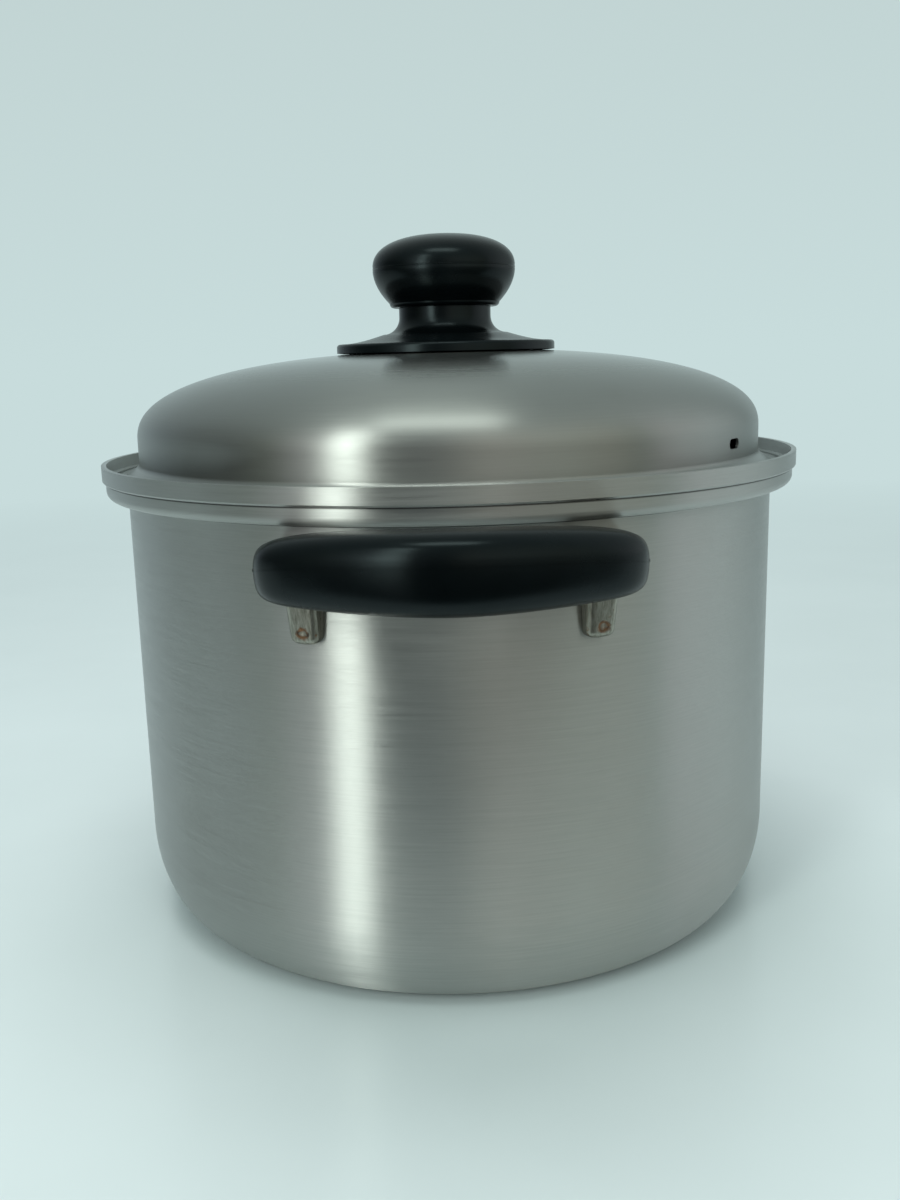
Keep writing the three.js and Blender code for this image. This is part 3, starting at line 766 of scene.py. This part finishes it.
def handle_ring(piece, place, heading):
    """Add one ring in edit mode: a unit circle, squared off, sized and set on the line."""
    past_knee = -place.y > wall_radius + knee_reach
    share = max(0, 1 - abs(place.x) / knee_span) if past_knee else 0
    swell = math.sin(share * math.pi / 2) ** fullness
    behind = max(0, 1 - max(0, -place.y - wall_radius) / knee_reach)
    crown = between(leg_crown, grip_crown, swell) - foot_fall * behind
    belly = between(leg_belly, grip_belly, swell)
    half_width = between(leg_half_width, grip_half_width, swell)
    halves = ((1, crown, leg_top_roundness), (-1, belly, leg_under_roundness))
    bpy.ops.mesh.select_all(action="DESELECT")
    bpy.ops.mesh.primitive_circle_add(
        vertices=ring_sides, radius=1, location=(0, 0, 0), rotation=(0, math.pi / 2, 0)
    )
    for i in range(ring_sides // 4 + 1):
        angle = 2 * math.pi * i / ring_sides
        across = math.cos(angle)
        up = math.sin(angle)
        for side, tall, roundness in halves:
            pick(
                piece,
                lambda p: p.length > ring_near
                and abs(abs(p.y) - across) < ring_slack
                and p.z * side > -ring_slack / 10,
            )
            power = 2 / between(roundness, grip_roundness, swell)
            wide = half_width * max(across, least_share) ** (power - 1)
            high = tall * max(up, least_share) ** (power - 1)
            bpy.ops.transform.resize(value=(1, wide, high), center_override=(0, 0, 0))
    pick(piece, lambda p: abs(p.z) < level_slack)
    bpy.ops.object.vertex_group_assign()
    pick(piece, lambda p: p.z < ring_ceiling)
    bpy.ops.transform.rotate(value=-heading, orient_axis="Z", center_override=(0, 0, 0))
    height = between(leg_underside, grip_underside, swell) + belly
    bpy.ops.transform.translate(value=(place.x, place.y, height))


def handle_bow():
    """Half the bow as an open form. Its group marks the line where the mould halves met."""
    line = handle_line()
    bpy.ops.object.select_all(action="DESELECT")
    bpy.ops.mesh.primitive_circle_add(vertices=3, radius=0.001)
    bow = bpy.context.object
    bow.name = "front_moulded_handle"
    bow.vertex_groups.new(name="parting line")
    bpy.ops.object.mode_set(mode="EDIT")
    bpy.ops.mesh.delete(type="VERT")
    for i, place in enumerate(line):
        ahead = line[min(i + 1, len(line) - 1)] - line[max(i - 1, 0)]
        heading = 0 if i == 0 else math.atan2(ahead.y, ahead.x)
        handle_ring(bow, place, heading)
    bpy.ops.mesh.select_all(action="SELECT")
    bpy.ops.mesh.bridge_edge_loops()
    return bow


def pushed_block(name, plan_half, low, high, reach):
    """A round-ended tongue in plan, between two heights, that runs back into the pot's wall."""
    centre = Vector((0, -wall_radius - reach, (low + high) / 2))
    bpy.ops.object.select_all(action="DESELECT")
    bpy.ops.mesh.primitive_cylinder_add(
        vertices=48, radius=plan_half, depth=high - low, location=centre
    )
    block = bpy.context.object
    block.name = name
    bpy.ops.object.transform_apply()
    bpy.ops.object.mode_set(mode="EDIT")
    pick(block, lambda p: p.y > centre.y + plan_half / 50)
    bpy.ops.transform.resize(value=(1, 0, 1), center_override=centre)
    bpy.ops.transform.translate(value=(0, reach + tongue_past, 0))
    bpy.ops.object.mode_set(mode="OBJECT")
    return block


def wall_cutter(gap):
    """The pot's wall as a tall cylinder, grown by a gap, to trim what sits on it."""
    bpy.ops.object.select_all(action="DESELECT")
    bpy.ops.mesh.primitive_cylinder_add(
        vertices=fine_steps, radius=wall_radius + gap, depth=cutter_depth
    )
    return bpy.context.object


lug_width = 0.010
lug_end_width = 0.0092
lug_drop = 0.016
lug_sheet = 0.0015
lug_foot_depth = 0.0036
lug_top_depth = 0.0062
lug_bottom = leg_underside - lug_drop
tongue_width = 0.009
tongue_past = 0.003
tongue_under = leg_underside + 0.0042
tongue_top = tongue_under + lug_sheet
screw_reach = 0.0102
pocket_gap = 0.0004
pocket_half = lug_width / 2 + pocket_gap
pocket_back = lug_top_depth + pocket_gap
pocket_roof = tongue_top + seat_gap

bow = handle_bow()
foot = handle_line()[-1]
foot_way = (foot - handle_line()[-2]).normalized()
pick(bow, lambda p: (p - foot).xy.dot(foot_way.xy) > -foot_slack)
bpy.ops.mesh.edge_face_add()
bpy.ops.mesh.select_all(action="SELECT")
bpy.ops.mesh.normals_make_consistent(inside=False)
bpy.ops.object.mode_set(mode="OBJECT")
modified(bow, "MIRROR", use_clip=True, merge_threshold=mirror_merge)
modified(bow, "SUBSURF", levels=2, render_levels=2)

bpy.ops.object.mode_set(mode="EDIT")
bpy.ops.mesh.select_mode(type="VERT")
bpy.ops.mesh.select_all(action="DESELECT")
mesh = bmesh.from_edit_mesh(bow.data)
weights = mesh.verts.layers.deform.active
for vertex in mesh.verts:
    vertex.select = vertex[weights].get(0, 0) > seam_weight
mesh.select_flush(True)
bmesh.update_edit_mesh(bow.data)
bpy.ops.mesh.select_mode(type="EDGE")
bpy.ops.mesh.bevel(offset=seam_width, segments=1, affect="EDGES")
bpy.ops.mesh.extrude_region_shrink_fatten(TRANSFORM_OT_shrink_fatten={"value": seam_height})
bpy.ops.object.mode_set(mode="OBJECT")

cut_away(bow, wall_cutter(seat_gap))
lug_pocket = boxed(
    "lug_pocket",
    Vector((-pocket_half, -wall_radius - pocket_back, lug_bottom)),
    Vector((pocket_half, -wall_radius + foot_inset, pocket_roof)),
)
tongue_pocket = pushed_block(
    "tongue_pocket", tongue_width / 2 + pocket_gap, lug_bottom, pocket_roof, screw_reach
)
for side in (1, -1):
    cut_away(
        bow,
        turned_copy(lug_pocket, "lug_cutter", side * bracket_angle),
        turned_copy(tongue_pocket, "tongue_cutter", side * bracket_angle),
    )
removed(lug_pocket, tongue_pocket)
rear_bow = turned_copy(bow, "rear_moulded_handle", math.pi)
finished(bow, phenolic, "pot", "front_handle")
finished(rear_bow, phenolic, "pot", "rear_handle")


# Handle brackets: stainless lugs pressed from sheet and spot-welded to the wall. Each leans out to
# its handle leg, and its tongue turns into the leg's pocket. The weld has dished and rusted.
weld_rise = 0.0036
weld_radius = 0.0019
weld_depth = 0.0006
weld_height = lug_bottom + weld_rise
rust_mm = 1.429
blotch_mm = 3.03
pit_mm = 2.38
press_grain_mm = 0.667
rust_ragged = 0.0016
rust_wander = 0.002
rust_from = 0.0016
rust_to = 0.006
grain_stretch = 0.12


def pressed_stainless():
    """Pressed stainless: dull from the press, with brown rust in and around the dished weld.

    All four brackets share the pattern, which is folded into the corner of +X and +Y. The grain
    is coarser than the press leaves it, so that it shows.
    """
    material, tree, place = new_material("pressed stainless with a rusty spot weld")
    noise = {"Vector": place, "Scale": 1000 / rust_mm, "Detail": 4}
    rust_noise = add_node(tree, "TexNoise", noise)
    blotch = add_node(tree, "TexNoise", {"Vector": place, "Scale": 1000 / blotch_mm, "Detail": 2})
    folded = add_node(tree, "VectorMath", {0: place}, operation="ABSOLUTE")
    turned = add_node(tree, "Mapping", {"Vector": folded, "Rotation": (0, 0, bracket_angle)})
    weld = Vector((0, wall_radius + lug_foot_depth, weld_height))
    away = add_node(tree, "VectorMath", {0: turned, 1: weld}, operation="DISTANCE")
    warped = add_node(tree, "Math", {0: blotch, 1: rust_wander, 2: away}, operation="MULTIPLY_ADD")
    ragged = add_node(
        tree, "Math", {0: rust_noise, 1: rust_ragged, 2: warped}, operation="MULTIPLY_ADD"
    )
    out = add_node(tree, "MapRange", {"Value": ragged, "From Min": rust_from, "From Max": rust_to})
    stops = [(0.2, 0.15), (0.36, 1), (0.5, 0.8), (0.6, 0)]
    ring = add_node(tree, "ValToRGB", {"Fac": out}, stops)
    cells = add_node(tree, "TexVoronoi", {"Vector": place, "Scale": 1000 / pit_mm})
    spot = add_node(tree, "ValToRGB", {"Fac": cells}, [(0.16, 1), (0.3, 0)])
    where = add_node(tree, "ValToRGB", {"Fac": blotch}, [(0.56, 0), (0.62, 1)])
    pits = add_node(tree, "Math", {0: spot, 1: where}, operation="MULTIPLY")
    rust = add_node(tree, "Math", {0: ring, 1: pits}, operation="MAXIMUM")
    drawn_out = add_node(tree, "Mapping", {"Vector": place, "Scale": (1, 1, grain_stretch)})
    noise = {"Vector": drawn_out, "Scale": 1000 / press_grain_mm, "Detail": 3, "Roughness": 0.7}
    grain = add_node(tree, "TexNoise", noise)
    steel = add_node(tree, "ValToRGB", {"Fac": grain}, [(0.3, "#75746a"), (0.7, "#a9a89e")])
    stops = [(0.35, "#2e1a0d"), (0.65, "#7d5634")]
    brown = add_node(tree, "ValToRGB", {"Fac": rust_noise}, stops)
    colour = add_node(tree, "Mix", {"Factor": rust, 6: steel, 7: brown}, data_type="RGBA")
    metal = add_node(tree, "MapRange", {"Value": rust, "To Min": 1, "To Max": 0.1})
    rough = add_node(tree, "MapRange", {"Value": rust, "To Min": 0.36, "To Max": 0.8})
    bump = add_node(tree, "Bump", {"Height": grain, "Strength": 0.3, "Distance": 0.0001})
    finish = {"Base Color": colour, "Metallic": metal, "Roughness": rough, "Normal": bump}
    shader = add_node(tree, "BsdfPrincipled", finish)
    add_node(tree, "OutputMaterial", {"Surface": shader})
    return material


lug_rows = 8
lug_columns = 4
lug_crown = 0.0004
lug_arch = 0.0005
lug_inset = 0.002
lug_bend = lug_sheet * 1.2
same_place = 1e-5


def lug_shell():
    """The lug as an open box from the wall outwards: barrel-sided, leaning out, arched below."""
    low = Vector((-lug_width / 2, -wall_radius - lug_top_depth, lug_bottom))
    high = Vector((lug_width / 2, -wall_radius + lug_inset, tongue_top))
    lug = boxed("front_bracket_lug", low, high)
    bpy.ops.object.mode_set(mode="EDIT")
    for i in range(1, lug_rows):
        bpy.ops.mesh.select_all(action="SELECT")
        level = low.z + (leg_underside - low.z) * i / (lug_rows - 1)
        bpy.ops.mesh.bisect(plane_co=(0, 0, level), plane_no=(0, 0, 1))
    for i in range(1, lug_columns):
        bpy.ops.mesh.select_all(action="SELECT")
        across = low.x + (high.x - low.x) * i / lug_columns
        bpy.ops.mesh.bisect(plane_co=(across, 0, 0), plane_no=(1, 0, 0))
    levels = sorted({round(v.co.z, 6) for v in bmesh.from_edit_mesh(lug.data).verts})
    for level in reversed(levels):
        fall = min(1, max(0, (leg_underside - level) / lug_drop))
        pick(lug, lambda p: abs(p.z - level) < same_place)
        wide = 1 - (1 - lug_end_width / lug_width) * fall**2
        bpy.ops.transform.resize(value=(wide, 1, 1), center_override=(0, 0, 0))
        pick(lug, lambda p: abs(p.z - level) < same_place and p.y < -wall_radius)
        lean = (lug_top_depth - lug_foot_depth) * fall
        bpy.ops.transform.translate(value=(0, lean, 0))
        for i in range(lug_columns + 1):
            share = 2 * i / lug_columns - 1
            column = Vector((share * wide * high.x, level))
            pick(lug, lambda p: (p.xz - column).length < same_place and p.y < -wall_radius)
            bpy.ops.transform.translate(value=(0, -lug_crown * (1 - share**2) * fall, 0))
            pick(lug, lambda p: (p.xz - column).length < same_place)
            bpy.ops.transform.translate(value=(0, 0, lug_arch * share**2 * fall**3))
    bpy.ops.mesh.select_mode(type="FACE")
    bpy.ops.mesh.select_all(action="DESELECT")
    mesh = bmesh.from_edit_mesh(lug.data)
    for face in mesh.faces:
        face.select = face.normal.y > 0.9
    bmesh.update_edit_mesh(lug.data)
    bpy.ops.mesh.delete(type="FACE")
    bpy.ops.object.mode_set(mode="OBJECT")
    modified(lug, "BEVEL", width=lug_bend, segments=5, angle_limit=math.radians(50))
    modified(lug, "SOLIDIFY", thickness=lug_sheet, offset=-1, use_even_offset=True)
    return lug


bracket = lug_shell()
screw_clearance = 0.0022
hole_depth = 0.02
dish = (weld_radius**2 + weld_depth**2) / (2 * weld_depth)
weld_share = weld_rise / lug_drop
weld_lean = (lug_top_depth - lug_foot_depth) * weld_share
weld_face = wall_radius + lug_foot_depth + weld_lean + lug_crown * (1 - weld_share)
dish_place = (0, -weld_face - dish + weld_depth, weld_height)
bpy.ops.mesh.primitive_uv_sphere_add(segments=48, ring_count=32, radius=dish, location=dish_place)
bpy.ops.object.transform_apply()
cut_away(bracket, bpy.context.object)
tongue = pushed_block("tongue", tongue_width / 2, tongue_under, tongue_top, screw_reach)
hole_place = (0, -wall_radius - screw_reach, tongue_top)
bpy.ops.mesh.primitive_cylinder_add(
    vertices=32, radius=screw_clearance, depth=hole_depth, location=hole_place
)
cut_away(tongue, bpy.context.object)
modified(bracket, "BOOLEAN", object=tongue, operation="UNION")
removed(tongue)
cut_away(bracket, wall_cutter(seat_gap / 4))

pressed_steel = pressed_stainless()
legs = [
    (end, hand, (math.pi if end == "rear" else 0) + sign * bracket_angle)
    for end in ("front", "rear")
    for hand, sign in (("left", -1), ("right", 1))
]
for end, hand, angle in legs:
    lug = turned_copy(bracket, f"{end}_pressed_bracket_{hand}", angle)
    finished(lug, pressed_steel, "pot", f"{end}_bracket_{hand}")
removed(bracket)


# Fixings: bright zinc-plated pan head screws with a cross recess, one up through each bracket's
# tongue on a spring washer and one up through the lid on a flat washer. Brass bushes hold them.
plate_mm = 3.85
tool_ring_mm = 0.7
cut_over = 0.001


def plated_zinc():
    """Bright zinc plate: silvery with a faint blue and yellow cast and slightly uneven gloss."""
    material, tree, place = new_material("bright zinc plate")
    cloud = add_node(tree, "TexNoise", {"Vector": place, "Scale": 1000 / plate_mm, "Detail": 3})
    colour = add_node(tree, "ValToRGB", {"Fac": cloud}, [(0.35, "#b4b8bd"), (0.65, "#c6c4b4")])
    rough = add_node(tree, "MapRange", {"Value": cloud, "To Min": 0.22, "To Max": 0.38})
    finish = {"Base Color": colour, "Metallic": 1.0, "Roughness": rough}
    add_node(tree, "OutputMaterial", {"Surface": add_node(tree, "BsdfPrincipled", finish)})
    return material


def turned_brass():
    """Turned brass: yellow, with fine rings left by the tool, drawn coarser so that they show."""
    material, tree, place = new_material("turned brass")
    z = add_node(tree, "SeparateXYZ", {"Vector": place}).outputs["Z"]
    rate = 2000 * math.pi / tool_ring_mm
    rings = add_node(tree, "Math", {0: z, 1: rate}, operation="MULTIPLY")
    wave = add_node(tree, "Math", {0: rings}, operation="SINE")
    colour = add_node(tree, "ValToRGB", {"Fac": wave}, [(0, "#a9843f"), (1, "#c9a55c")])
    finish = {"Base Color": colour, "Metallic": 1.0, "Roughness": 0.3}
    add_node(tree, "OutputMaterial", {"Surface": add_node(tree, "BsdfPrincipled", finish)})
    return material


def pan_screw(name, shank, head, head_height, seat, tip):
    """A screw standing upright with its domed head down, bevelled tip and cross recess."""
    bottom = seat - head_height
    dome = arc((0, seat - head_height / 2), (head, head_height / 2), -90, 0, 10)
    outline = [
        (0, dome[0][1]),
        *dome[1:],
        (head, seat),
        (shank, seat),
        (shank, tip - shank / 2),
        (shank / 2, tip),
        (0, tip),
    ]
    screw = spun(name, outline, 48)
    arm = head / 2
    slot_half = head / 9
    slot_roof = bottom + head_height * 0.55
    for long_x, long_y in ((arm, slot_half), (slot_half, arm)):
        low = Vector((-long_x, -long_y, bottom - cut_over))
        cut_away(screw, boxed("recess", low, Vector((long_x, long_y, slot_roof))))
    return screw


def ring_piece(name, inner, outer, low, high, softness):
    """A flat ring with softened outer edges, on the Z axis."""
    outline = [
        (inner, low),
        (outer - softness, low),
        (outer, low + softness),
        (outer, high - softness),
        (outer - softness, high),
        (inner, high),
        (inner, low),
    ]
    return spun(name, outline, 64)


def moved_out(piece, reach):
    """Move a piece made on the Z axis out to the front by a reach, in its mesh."""
    piece.location.y = -reach
    only(piece)
    bpy.ops.object.transform_apply(location=True)


zinc = plated_zinc()
brass = turned_brass()
leg_shank = 0.0019
leg_head = 0.0035
leg_head_height = 0.0022
spring_radius = 0.0034
spring_soft = 0.0001
split_half = 0.00025
split_from = 0.001
split_to = 0.005
screw_low, screw_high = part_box("front_handle_screw_left")
leg_seat = screw_low.z + leg_head_height
handle_screw = pan_screw(
    "handle_screw", leg_shank, leg_head, leg_head_height, leg_seat, screw_high.z
)
spring_low, spring_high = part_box("front_spring_washer_left")
spring_washer = ring_piece(
    "spring_washer", screw_clearance, spring_radius, spring_low.z, spring_high.z, spring_soft
)
split = boxed(
    "split",
    Vector((split_from, -split_half, spring_low.z - cut_over)),
    Vector((split_to, split_half, spring_high.z + cut_over)),
)
cut_away(spring_washer, split)
moved_out(handle_screw, wall_radius + screw_reach)
moved_out(spring_washer, wall_radius + screw_reach)
for end, hand, angle in legs:
    screw = turned_copy(handle_screw, f"{end}_pan_screw_{hand}", angle)
    finished(screw, zinc, "pot", f"{end}_handle_screw_{hand}")
    washer = turned_copy(spring_washer, f"{end}_split_washer_{hand}", angle)
    finished(washer, zinc, "pot", f"{end}_spring_washer_{hand}")
removed(handle_screw, spring_washer)

knob_shank = 0.0025
knob_head = 0.0052
knob_head_height = 0.003
knob_washer_radius = 0.009
knob_washer_soft = 0.0002
screw_low, screw_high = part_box("knob_screw")
knob_seat = screw_low.z + knob_head_height
knob_screw = pan_screw(
    "knob_pan_screw", knob_shank, knob_head, knob_head_height, knob_seat, screw_high.z
)
finished(knob_screw, zinc, "lid", "knob_screw")
low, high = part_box("knob_washer")
knob_washer = ring_piece(
    "knob_flat_washer", screw_hole, knob_washer_radius, low.z, high.z, knob_washer_soft
)
finished(knob_washer, zinc, "lid", "knob_washer")

for name in ["knob_insert"] + [f"{end}_handle_insert_{hand}" for end, hand, angle in legs]:
    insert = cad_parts[name]
    insert.data.materials.clear()
    insert.data.materials.append(brass)


# Jar rack: bright drawn stainless wire, a ring and two foot bars with nine rods laid across them,
# resistance-welded where they cross, so that each crossing has a small squeezed-out bead.
tarnish_mm = 16.7


def drawn_wire():
    """Bright drawn wire: smooth and light, a little warmer and duller in patches."""
    material, tree, place = new_material("bright drawn stainless wire")
    cloud = add_node(tree, "TexNoise", {"Vector": place, "Scale": 1000 / tarnish_mm, "Detail": 4})
    colour = add_node(tree, "ValToRGB", {"Fac": cloud}, [(0.4, "#cfd1d0"), (0.75, "#b3ada0")])
    rough = add_node(tree, "MapRange", {"Value": cloud, "To Min": 0.16, "To Max": 0.34})
    finish = {"Base Color": colour, "Metallic": 1.0, "Roughness": rough}
    add_node(tree, "OutputMaterial", {"Surface": add_node(tree, "BsdfPrincipled", finish)})
    return material


wire = drawn_wire()
ring_low, ring_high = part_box("rack_ring")
bar_low, bar_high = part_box("rack_foot_bar_right")
rod_low, rod_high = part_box("rack_rod_1")
ring_wire = 0.002
rod_wire = 0.0015
ring_radius = ring_high.y - ring_wire
ring_level = (ring_low.z + ring_high.z) / 2
rod_level = (rod_low.z + rod_high.z) / 2
foot_bar_x = (bar_low.x + bar_high.x) / 2
foot_bar_end = bar_high.y - ring_wire
foot_bar_bend = 0.0055
bar_crossing = foot_bar_end - 0.004
bead_level = (ring_level + ring_wire + rod_level - rod_wire) / 2
bead_squeeze = (1.1, 1.1, 0.55)
ring_section = arc((ring_radius, ring_level), (ring_wire, ring_wire), 0, 360, 20)
ring = spun("rack_round_ring", ring_section, 180)
finished(ring, wire, "rack", "rack_ring")


def bead(place):
    """A small weld bead, squeezed out flat between two crossing wires."""
    bpy.ops.object.select_all(action="DESELECT")
    bpy.ops.mesh.primitive_uv_sphere_add(
        segments=14, ring_count=8, radius=rod_wire, location=place
    )
    lump = bpy.context.object
    lump.scale = bead_squeeze
    bpy.ops.object.transform_apply(location=True, rotation=True, scale=True)
    return lump


def joined(piece, others):
    """Join other objects into a piece."""
    only(piece)
    for other in others:
        other.select_set(True)
    bpy.ops.object.join()


rod_names = sorted(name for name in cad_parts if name.startswith("rack_rod_"))
for name in rod_names:
    low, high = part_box(name)
    offset = (low.y + high.y) / 2
    half = math.sqrt(ring_radius**2 - offset**2)
    rod_end = rod_wire / 3
    rod_outline = [
        (0, -half),
        (rod_wire - rod_end, -half),
        (rod_wire, -half + rod_end),
        (rod_wire, half - rod_end),
        (rod_wire - rod_end, half),
        (0, half),
    ]
    rod = spun(name.replace("rack_rod", "rack_top_rod"), rod_outline, 20)
    rod.rotation_euler.y = math.pi / 2
    rod.location = (0, offset, rod_level)
    only(rod)
    bpy.ops.object.transform_apply(location=True, rotation=True)
    crossings = [half - rod_wire, foot_bar_x] if abs(offset) < bar_crossing else [half - rod_wire]
    joined(rod, [bead((x * side, offset, bead_level)) for x in crossings for side in (-1, 1)])
    finished(rod, wire, "rack", name)


def foot_bar(name, x):
    """A wire along Y whose ends are bent straight down to stand on the pot's floor."""
    bpy.ops.object.select_all(action="DESELECT")
    bpy.ops.mesh.primitive_circle_add(
        vertices=20, radius=ring_wire, fill_type="NGON", location=(x, -foot_bar_end, bar_low.z)
    )
    bar = bpy.context.object
    bar.name = name
    bpy.ops.object.transform_apply()
    bpy.ops.object.mode_set(mode="EDIT")
    bend_y = foot_bar_end - foot_bar_bend
    bend_z = ring_level - foot_bar_bend
    upright = bend_z - bar_low.z
    quarter = math.pi / 2
    bpy.ops.mesh.extrude_region_move(TRANSFORM_OT_translate={"value": (0, 0, upright)})
    bpy.ops.mesh.spin(steps=10, angle=quarter, center=(x, -bend_y, bend_z), axis=(1, 0, 0))
    bpy.ops.mesh.extrude_region_move(TRANSFORM_OT_translate={"value": (0, 2 * bend_y, 0)})
    bpy.ops.mesh.spin(steps=10, angle=quarter, center=(x, bend_y, bend_z), axis=(1, 0, 0))
    bpy.ops.mesh.extrude_region_move(TRANSFORM_OT_translate={"value": (0, 0, -upright)})
    closed()
    return bar


for side, x in (("left", -foot_bar_x), ("right", foot_bar_x)):
    bar = foot_bar(f"rack_bent_foot_bar_{side}", x)
    finished(bar, wire, "rack", f"rack_foot_bar_{side}")
